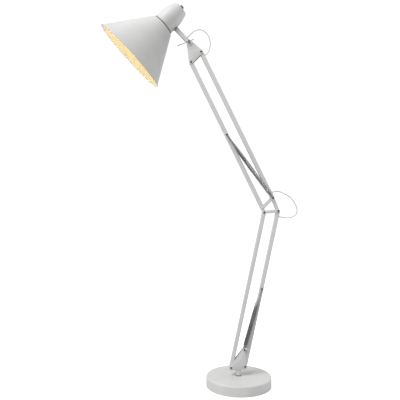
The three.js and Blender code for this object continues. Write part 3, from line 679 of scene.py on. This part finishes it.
# %% [markdown]
# ## Pins
# Each pivot is a blackened pin with a shallow domed head at either end; only the elbow's side pin is
# painted over with its plates. The longer pins also carry the springs. Their profile is turned about Y.
# Heads this small are hardly more than points, but a dome catches one crisp highlight that a flat disc
# would not.

# %% Pins
PIN_R = 2.75 * MM
HEAD_R = 4.2 * MM
HEAD_T = 2.4 * MM
PIN_SEGMENTS = 32


def headed_end(height):
    """The profile of a head: out from the shank at a height, and over a dome to the axis."""
    dome = arc((0, 0), 1, 0, 90, 6) * [HEAD_R, HEAD_T * 0.8]
    return np.concatenate([[[PIN_R, height], [HEAD_R, height]], dome + [0, height + HEAD_T * 0.2]])


def pin_piece(node, body, finish=BLACKENED, slot="black_plastic"):
    """A double-headed pin about Y where the frame has one."""
    near, far = depth(node)
    upper = headed_end((far - near) / 2 - HEAD_T)
    profile = np.concatenate([(upper * [1, -1])[::-1], upper])
    return turned_piece(node + "_turned", profile, middle(node), -FRONT, body, finish, slot, node,
                        segments=PIN_SEGMENTS)


def stud_piece(node, body, outwards):
    """A stud riveted in a plate, with a head at its outer end; outwards is -1 for the front and 1 for the
    rear."""
    near, far = depth(node)
    profile = np.concatenate([[[0, 0], [PIN_R, 0]], headed_end(far - near - HEAD_T)])
    at = middle(node) * [1, 0, 1] + [0, near if outwards > 0 else far, 0]
    return turned_piece(node + "_turned", profile, at, (0, outwards, 0), body, BLACKENED, "black_plastic",
                        node, segments=PIN_SEGMENTS)


pins = {"foot_pin_left": "swivel", "foot_pin_right": "swivel",
        "elbow_pin_left": "elbow", "elbow_pin_right": "elbow",
        "elbow_spring_pin": "elbow", "head_pin_left": "head_bracket", "head_pin_right": "head_bracket",
        "lower_spring_anchor": "lower_right_arm", "upper_spring_anchor": "upper_left_arm"}
for node, body in pins.items():
    pin_piece(node, body)
pin_piece("elbow_pin_side", "elbow", PAINT, "paint")
stud_piece("foot_spring_stud_front", "swivel", -1)
stud_piece("foot_spring_stud_rear", "swivel", 1)
print("pins:", len(pins) + 1, "and 2 studs")

# %% [markdown]
# ## Springs
# Each arm hangs on two long tension springs. One is an open helix of wire whose ends are drawn down to a
# neck and bent into a hook round the pin. A spring could be stretched by a modifier, but it also swings
# about both of its pins, so it is made as two halves, one hung on each pin, whose coils share one helix
# in the middle. As the arm moves, the halves slide through each other and stay in line. END_COILS gives,
# for each end, the radius of its first coil and the length over which the coils widen.

# %% Springs
SPRING_R = 6.5 * MM
WIRE_R = 0.8 * MM
PITCH = 2.35 * MM
TURN_STEPS = 14
NECK = 5.8 * MM  # from the pin to the first coil
RING_SLACK = 0.35 * MM
OVERLAP = {"lower": 18 * MM, "upper": 28 * MM}
END_COILS = {"lower": (5.0 * MM, 6 * MM), "upper": (3.0 * MM, 30 * MM), "tube": (3.4 * MM, 90 * MM)}


def eased_step(x):
    """A smooth step from 0 to 1 as x goes from 0 to 1."""
    x = np.clip(x, 0, 1)
    return x * x * (3 - 2 * x)


def spring_path(reach, phase, first_r, widening):
    """Half a spring along its axis from the pin at the origin: three quarters of a ring round the pin,
    one turn that winds out to the first coil's radius, turns that widen to full size, and even turns to
    `reach`. The turns' angle is fixed by the height alone, so two halves with matching phases lie on one
    helix."""
    ring_r = PIN_R + WIRE_R + RING_SLACK
    t = np.radians(np.linspace(-200, 70, 22))
    ring = np.stack([ring_r * np.cos(t), 0 * t, ring_r * np.sin(t)], -1)
    z = np.arange(NECK, reach, PITCH / TURN_STEPS)
    first = (first_r - WIRE_R) * eased_step((z - NECK) / PITCH)
    radius = first + (SPRING_R - first_r) * eased_step((z - NECK - PITCH) / widening)
    angle = 2 * np.pi * z / PITCH + phase
    coils = np.stack([radius * np.cos(angle), radius * np.sin(angle), z], -1)
    t = np.linspace(0, 1, 6, endpoint=False)[1:, None]
    neck = ring[-1] * (1 - t) ** 2 + 2 * t * (1 - t) * np.array([0, 0, ring_r * 1.1]) + coils[0] * t**2
    return np.concatenate([ring, neck, coils])


def spring_half(name, origin, towards, y, reach, phase, end, body, stands_for):
    """Half a spring hung on a pin, in the plane at y; `end` says how its first coils widen."""
    local = spring_path(reach, phase, *END_COILS[end])
    path = to_world(local, origin + np.array([0, y, 0]), towards - origin)
    piece = mesh_piece(name, *carried(path, WIRE_R, sides=7))
    return dress(piece, body, SPRING_WIRE, stands_for)


springs = {
    "lower": (foot_tip, pivot["lower_spring_tube_pin"], "lower_spring_foot", "lower_spring_tube"),
    "upper": (elbow_top, pivot["upper_spring_tube_pin"], "upper_spring_elbow", "upper_spring_tube"),
}
for name, (low_pin, high_pin, low_body, high_body) in springs.items():
    span = np.linalg.norm(high_pin - low_pin)
    reach = span / 2 + OVERLAP[name]
    matching = -2 * np.pi * span / PITCH
    for side in ("front", "rear"):
        y = middle(f"{name}_spring_{side}_lower")[1]
        spring_half(f"{name}_{side}_spring_foot_end", low_pin, high_pin, y, reach, 0.0, name, low_body,
                    f"{name}_spring_{side}_lower")
        spring_half(f"{name}_{side}_spring_tube_end", high_pin, low_pin, y, reach, matching, "tube",
                    high_body, f"{name}_spring_{side}_upper")
    print(name, "springs", round(float(span), 4), "m between pins")

# %% [markdown]
# ## Foot post
# The post turns on the base's spigot. It is a short round bar with a flat tongue above, which the foot
# plates grip. A tongue like this is milled, so its edges are crisp but not sharp: the section of a
# rounded rectangle is carried upwards, and drawn in a little at either end.

# %% Post and tongue
TONGUE_RISE, TONGUE_SINK = 17 * MM, 3 * MM
TONGUE_LEFT, TONGUE_RIGHT, TONGUE_HALF = -14 * MM, 9 * MM, 9.5 * MM
POST_EDGE = 1.0 * MM
SEED = 1e-5  # flat left between the seed square's round corners


def tongue_piece(low, high):
    """The tongue between two corners: a rounded rectangle carried up Z, drawn in at its two ends. Its
    section is a tiny rounded square, POST_EDGE in its corners, whose quarters are pushed apart."""
    low, high = np.array(low), np.array(high)
    size, centre = high - low, (low + high) / 2
    square = rounded_square(2 * POST_EDGE + SEED, POST_EDGE)
    apart = np.sign(square) * (size[:2] / 2 - POST_EDGE - SEED / 2)
    full, drawn, round_z = apart + square, apart + square * 0.4, 0.6 * POST_EDGE
    stations = [(0 * square, low[2]), (drawn, low[2]), (full, low[2] + round_z),
                (full, high[2] - round_z), (drawn, high[2]), (0 * square, high[2])]
    rings = np.stack([np.column_stack([o, np.full(len(o), z)]) for o, z in stations])
    rings[..., :2] += centre[:2]
    piece = mesh_piece("post_tongue", rings.reshape(-1, 3), grid_faces(len(rings), rings.shape[1]))
    return dress(piece, "swivel", PAINT, "swivel_post")


low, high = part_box("swivel_post")
shoulder_z, post_r = high[2] - TONGUE_RISE, high[1]
post_profile = soften(ring_section(SPIGOT_BORE, post_r, low[2], shoulder_z), POST_EDGE)
turned_piece("post_round", post_profile, (0, 0, 0), UP, "swivel", PAINT, "paint", "swivel_post", segments=72)
tongue_piece((TONGUE_LEFT, -TONGUE_HALF, shoulder_z - TONGUE_SINK), (TONGUE_RIGHT, TONGUE_HALF, high[2]))
print("post radius", round(post_r, 4), "top", round(high[2], 4))

# %% [markdown]
# ## Grommets
# Where the flex leaves a tube, a soft ring protects it from the cut edge. It is a small turned ring that
# stands a little proud of the wall. There are five, all placed from a pivot and a distance along the
# tube.

# %% Grommets
def grommet(name, start, along, distance, outwards, body):
    """A ring on a tube's face at a distance from a pivot; outwards is the face's direction."""
    at = start + unit(along) * distance + unit(outwards) * TUBE / 2
    profile = soften(np.array([[2.25, -1.6], [2.25, 1.1], [4.6, 1.1], [4.9, 0.05], [3.2, 0.02], [3.2, -1.6],
                               [2.25, -1.6]]) * MM, 0.4 * MM, 3)
    return turned_piece(name, profile, at, outwards, body, BLACK, "black_plastic", segments=32)


def across(along):
    """The direction square to a tube in the arms' plane, on the right of it."""
    along = unit(along)
    return np.array([along[2], 0, -along[0]])


FOOT_PORT, END_PORT, HEAD_PORT, STEM_PORT = 40 * MM, 24 * MM, 19 * MM, 22 * MM
lower_run, upper_run = elbow_right - foot_right, head_right - elbow_top
grommet("foot_grommet", foot_right, lower_run, FOOT_PORT, -across(lower_run), "lower_right_arm")
grommet("elbow_low_grommet", elbow_right, -lower_run, END_PORT, across(lower_run), "lower_right_arm")
grommet("elbow_high_grommet", elbow_top, upper_run, END_PORT, across(upper_run), "upper_right_arm")
grommet("head_grommet", head_right, -upper_run, HEAD_PORT, across(upper_run), "upper_right_arm")
grommet("stem_grommet", clamp, -stem_axis, STEM_PORT, shade_axis, "stem")
print("grommets: 5")

# %% [markdown]
# ## Head: stem and clamp
# The stem is a stub of the same square tube, held between the head plates by the clamp screw. Its far end
# carries a round nub on which the shade swivels. The clamp is a plated screw with a sliding bar through
# its boss, so that it can be tightened by hand.

# %% Stem
STEM_HEIGHT = 239 * MM  # above the shade's rim, along its axis
STEM_ROOT, STEM_END, NUB_END, NUB_R = 80 * MM, 10 * MM, 105 * MM, 5 * MM
STEM_BORE, ROOT_EDGE = 12 * MM, 1.2 * MM
COLLAR_BORE, COLLAR_LOW, COLLAR_HIGH = 5.4 * MM, 50.8 * MM, 58.6 * MM
rim = pivot["shade_swivel"] - STEM_HEIGHT * shade_axis


def stem_piece():
    """The square stub: rounded-square rings along the stem, drawn in at the root and open at the far
    end."""
    outer = rounded_square(TUBE, CORNER)
    inner = rounded_square(TUBE - 2 * TUBE_WALL, CORNER - TUBE_WALL)
    drawn = ROOT_EDGE / TUBE
    stations = [(0 * outer, -STEM_ROOT), (outer * (1 - 2 * drawn), -STEM_ROOT),
                (outer * (1 - 0.6 * drawn), -STEM_ROOT + 0.3 * ROOT_EDGE), (outer, -STEM_ROOT + ROOT_EDGE),
                (outer, STEM_END - END_NICK), (0.5 * (outer + inner), STEM_END),
                (inner, STEM_END - END_NICK), (inner, STEM_END - STEM_BORE),
                (0 * inner, STEM_END - STEM_BORE)]
    return dress(carried_piece("stem_tube", stations, clamp, stem_axis), "stem", PAINT, "head_stem")


stem_piece()
nub_root = -STEM_ROOT + 1 * MM
nub_profile = soften([[0, -NUB_END], [NUB_R, -NUB_END], [NUB_R, nub_root], [0, nub_root]], 0.5 * MM)
turned_piece("stem_nub", nub_profile, clamp, stem_axis, "stem", PAINT, "paint", "head_stem", segments=40)
low, high = depth("stem_collar")
collar_r = (high - low) / 2
collar_profile = soften(ring_section(COLLAR_BORE, collar_r, COLLAR_LOW, COLLAR_HIGH), 1.3 * MM)
turned_piece("swivel_collar", collar_profile, pivot["shade_swivel"], stem_axis, "shade", DARK_NYLON,
             "black_plastic", "stem_collar", segments=48)
print("stem from", round(STEM_ROOT, 3), "to", round(STEM_END, 3), "m of the clamp")

# %% Clamp
BAR_R, BOSS_R = 1.8 * MM, 5.5 * MM
boss_low, boss_end = 12.6 * MM, 25.3 * MM
screw_end = 18.3 * MM
screw_profile = soften([[0, -screw_end], [PIN_R - 0.4 * MM, -screw_end], [PIN_R, -screw_end + 0.6 * MM],
                        [PIN_R, boss_low], [BOSS_R, boss_low], [BOSS_R, boss_end], [0, boss_end]], 0.7 * MM)
turned_piece("clamp_boss", screw_profile, clamp, FRONT, "clamp", PLATED, "steel", "clamp_screw", segments=48)
nut_bore = PIN_R + 0.2 * MM
nut_profile = np.array([[nut_bore, -17.8 * MM], [5.9 * MM, -17.8 * MM], [6.5 * MM, -17.2 * MM],
                        [6.5 * MM, -boss_low], [nut_bore, -boss_low], [nut_bore, -17.8 * MM]])
turned_piece("clamp_hex_nut", nut_profile, clamp, FRONT, "clamp", PLATED, "steel", "clamp_nut", segments=6)
bar_half = 39 * MM
bar_tip = arc((0, 0), 2.5 * MM, 0, 90, 6)
bar_end = np.concatenate([[[BAR_R, bar_half - 4.4 * MM], [2.1 * MM, bar_half - 4.1 * MM]],
                          bar_tip * [1, 0.8] + [0, bar_half - 2 * MM]])
bar_profile = np.concatenate([(bar_end * [1, -1])[::-1], bar_end])
turned_piece("clamp_sliding_bar", bar_profile, middle("clamp_bar"), axis_of["tommy_slide"], "clamp_tommy",
             PLATED, "steel", "clamp_bar", segments=40)
print("clamp bar", 2 * bar_half, "m")

# %% [markdown]
# ## Shade
# The shade is one spun cone with a rolled rim, a round shoulder and a flat top. Its profile goes up the
# outside and back down the inside, and the inside steps have the cream lining with painted bulb light, so
# that one closed surface has both colours. Above it, a narrow plate is made black to paint the shade of
# the groove below the cap, which is a bell with a soft top. The profiles are (radius, height above the rim)
# in millimetres.

# %% Shade and cap
def eased(points, steps=12):
    """A cubic Bezier curve through four control points, without its last point."""
    a, b, c, d = (np.array(p, float) for p in points)
    t = np.linspace(0, 1, steps, endpoint=False)[:, None]
    return (1 - t) ** 3 * a + 3 * t * (1 - t) ** 2 * b + 3 * t**2 * (1 - t) * c + t**3 * d


def shade_turned(name, profile, finishes, slot, stands_for, **how):
    """A piece turned about the shade's axis, with its heights above the rim."""
    return turned_piece(name, profile, rim, shade_axis, "shade", finishes, slot, stands_for, **how)


BEAD_OUTSIDE, BEAD_R = 181.4 * MM, 2.2 * MM
bead_at = np.array([BEAD_OUTSIDE - BEAD_R, BEAD_R])
outside = np.concatenate([
    arc(bead_at, BEAD_R, -180, 95, 14),
    np.array([[176.5, 7.0], [140, 67.2], [103, 128.1]]) * MM,
    eased(np.array([(66, 189), (61.4, 196.6), (57, 206.5), (49, 206.5)]) * MM, 14),
    np.array([[49, 206.5], [22, 206.5]]) * MM,
])
inside = np.concatenate([
    np.array([[22, 205], [47.5, 205]]) * MM,
    eased(np.array([(47.5, 205), (55.5, 205), (60, 195.5), (64.6, 188.2)]) * MM, 12),
    np.array([[64.6, 188.2], [101.6, 127.3], [138.6, 66.4], [175, 6.5]]) * MM,
    outside[:1],
])
shade_profile = np.concatenate([outside, inside])
lining = (np.arange(len(shade_profile) - 1) >= len(outside)).astype(int)
shade_turned("shade_spun", shade_profile, [PAINT, INSIDE], "shade_paint", "shade_cone", groups=lining,
             segments=180)

# The ring is black so that it paints the shade of the groove between the shade and its cap as a dark line.
carrier_profile = soften(ring_section(19.5 * MM, 47 * MM, 206.8 * MM, 209.7 * MM), 0.5 * MM)
shade_turned("carrier_ring_painted_groove_shade", carrier_profile, BLACK, "black_plastic", "shade_carrier", segments=96)

cap_outside = np.concatenate([
    np.array([[49.6, 210], [50, 210.6], [50, 225]]) * MM,
    eased(np.array([(50, 250), (50, 277), (42.5, 295), (38.9, 305)]) * MM, 18),
    eased(np.array([(38.9, 305), (37.2, 310), (37.2, 318), (30, 318)]) * MM, 10),
    np.array([[30, 318], [4.7, 318]]) * MM,
])
cap_inside = np.concatenate([
    np.array([[4.7, 316.5], [29.5, 316.5]]) * MM,
    eased(np.array([(29.5, 316.5), (35.6, 316.5), (35.8, 309.5), (37.4, 304.5)]) * MM, 8),
    eased(np.array([(37.4, 304.5), (41, 294.5), (48.5, 277), (48.5, 250)]) * MM, 12),
    np.array([[48.5, 250], [48.5, 210], [49.6, 210]]) * MM,
])
shade_turned("cap_spun", np.concatenate([cap_outside, cap_inside]), PAINT, "shade_paint", "shade_cap",
             segments=128)
print("shade rim at", np.round(rim, 4))

# %% [markdown]
# ## Switch, lampholder and bulb
# The knob on the cap turns the lamp on. It is a low black drum with shallow flutes for grip, made by
# letting the radius wave as the profile is turned. Inside the shade hang the holder, its ring and the
# bulb, whose opal glass glows. The glass and its brass cap are one profile with two finishes, and the
# thread is a ripple in it.

# %% Knob, holder and bulb
knob_low = 319.3 * MM
knob_profile = np.array([[0, 0], [8.6, 0], [9.3, 0.3], [9.5, 1.0], [9.5, 8.8], [9.1, 10], [8.2, 10.6],
                         [6.6, 10.45], [0, 10.2]]) * MM + [0, knob_low]
on_side = [0, 0, 0.3, 1, 1, 0.6, 0, 0, 0]
turned_piece("switch_cap", knob_profile, rim, shade_axis, "switch", BLACK, "black_plastic", "switch_knob",
             segments=144, flutes=18, flute_depth=0.7 * MM, fluted=on_side)

holder_profile = soften(np.array([[14, 161], [18.6, 161], [19, 163], [19, 196], [19, 210.1], [25, 210.1],
                                  [25, 213], [17, 215], [17, 243], [15, 245.6], [0, 245.6], [0, 185],
                                  [14, 185], [14, 161]]) * MM, 0.8 * MM, 3)
shade_turned("holder_glazed", holder_profile, PORCELAIN, "porcelain", "lampholder", segments=72)
ring_profile = soften(np.array([[19.5, 198.7], [25, 198.7], [26, 200], [26, 204.7], [19.5, 204.7],
                                [19.5, 198.7]]) * MM, 0.6 * MM, 3)
shade_turned("holder_ring_glazed", ring_profile, PORCELAIN, "porcelain", "lampholder_ring", segments=144,
             flutes=36, flute_depth=0.6 * MM, fluted=(ring_profile[:, 0] > 24.5 * MM))

BULB_R, BULB_MID = 30 * MM, 108 * MM
globe = arc((0, BULB_MID), BULB_R, -90, 38, 24)
shoulder = eased(np.array([(23.6, 126.5), (19.5, 134), (15.5, 141), (14, 158)]) * MM, 14)[1:]
THREAD_R, THREAD_DEPTH, THREAD_PITCH = 12.5, 0.5, 3.6  # millimetres
rise = np.arange(0, 21, 0.5)
thread = np.stack([THREAD_R + THREAD_DEPTH * np.cos(2 * np.pi * rise / THREAD_PITCH), 162 + rise], 1) * MM
bulb_profile = np.concatenate([globe, shoulder, [[13.2 * MM, 160.2 * MM], [13 * MM, 161 * MM]], thread,
                               [[5 * MM, 183 * MM], [0, 183 * MM]]])
metal = (np.arange(len(bulb_profile) - 1) >= len(globe) + len(shoulder)).astype(int)
shade_turned("bulb_glass_and_cap", bulb_profile, [OPAL, BRASS], "bulb_glass", "bulb", groups=metal,
             segments=96)
print("bulb, holder and knob ready")

# %% [markdown]
# ## Parts that keep their plain shape
# Some parts are already right as they are: the pad, the iron, the spigot, the nuts and the flex
# inside the tubes. They keep the frame's mesh and only get a finish, by filling their material slots.

# %% Finishes for the frame's own parts
kept = {
    "base_pad": RUBBER, "base_weight": IRON, "base_spigot": PLATED, "spigot_nut": PLATED, "stem_nut": PLATED,
    "post_set_screw": BLACKENED, "base_flex": FLEX, "lower_flex": FLEX, "upper_flex": FLEX, "stem_flex": FLEX,
    "switch_body": BLACK,
}
for node, finish in kept.items():
    mesh = frame["nodes"][node].data
    mesh.materials.clear()
    mesh.materials.append(finish)
print("plain parts finished:", len(kept))

# %% [markdown]
# ## Floor and light
# The lamp stands on a pale floor that runs out to a white world. A large soft light from the front left
# shapes the round parts, and a weaker one from the right keeps the shaded sides readable. What the camera
# sees of the floor and the world is plain white, while the light that they bounce onto the lamp stays
# lower.

# %% Floor, lights and world
def area_light(name, at, towards, size, watts):
    """A square soft light at a place, turned towards another."""
    data = bpy.data.lights.new(name, "AREA")
    data.size, data.energy = size, watts
    light = bpy.data.objects.new(name, data)
    light.location = at
    aim = np.array(towards, float) - np.array(at, float)
    pan = np.arctan2(aim[0], -aim[1])
    tilt = np.arctan2(np.hypot(aim[0], aim[1]), -aim[2])
    light.rotation_euler = (tilt, 0, pan + np.pi)
    bpy.context.scene.collection.objects.link(light)


SKY_SEEN, SKY_LIGHT = 1.05, 0.65
FLOOR_WHITE, FLOOR_GLOW = 0.6, 0.72


def camera_only(nodes, links, otherwise, seen):
    """One value for what the camera sees directly and another for light that bounces."""
    direct = nodes.new("ShaderNodeLightPath").outputs["Is Camera Ray"]
    return spread(nodes, links, direct, otherwise, seen)


def floor_finish():
    """A matt floor that is lifted to plain white where it is seen, without lighting the lamp from
    below."""
    material = coated("white_floor", (FLOOR_WHITE,) * 3, 0.0, (0.75, 0.85), (40, 0.0001))
    nodes, links = material.node_tree.nodes, material.node_tree.links
    shader = nodes["Principled BSDF"]
    shader.inputs["Emission Color"].default_value = (1, 1, 1, 1)
    links.new(camera_only(nodes, links, 0.0, FLOOR_GLOW), shader.inputs["Emission Strength"])
    return material


FLOOR_HALF = 30.0
floor_points = [[-FLOOR_HALF, -FLOOR_HALF, floor_z], [FLOOR_HALF, -FLOOR_HALF, floor_z],
                [FLOOR_HALF, FLOOR_HALF, floor_z], [-FLOOR_HALF, FLOOR_HALF, floor_z]]
floor = mesh_piece("studio_floor", floor_points, [[0, 1, 2, 3]])
floor.data.materials.append(floor_finish())
area_light("key", (-3.6, -3.0, 6.9), (0, 0, 0.8), 3.9, 490)
area_light("rim", (3.4, 1.2, 0.9), (-0.2, 0, 1.3), 1.8, 36)
world = bpy.data.worlds.new("studio")
world.use_nodes = True
nodes, links = world.node_tree.nodes, world.node_tree.links
background = nodes["Background"]
background.inputs["Color"].default_value = (1, 1, 1, 1)
links.new(camera_only(nodes, links, SKY_LIGHT, SKY_SEEN), background.inputs["Strength"])
bpy.context.scene.world = world
bpy.context.scene.view_settings.view_transform = "Standard"
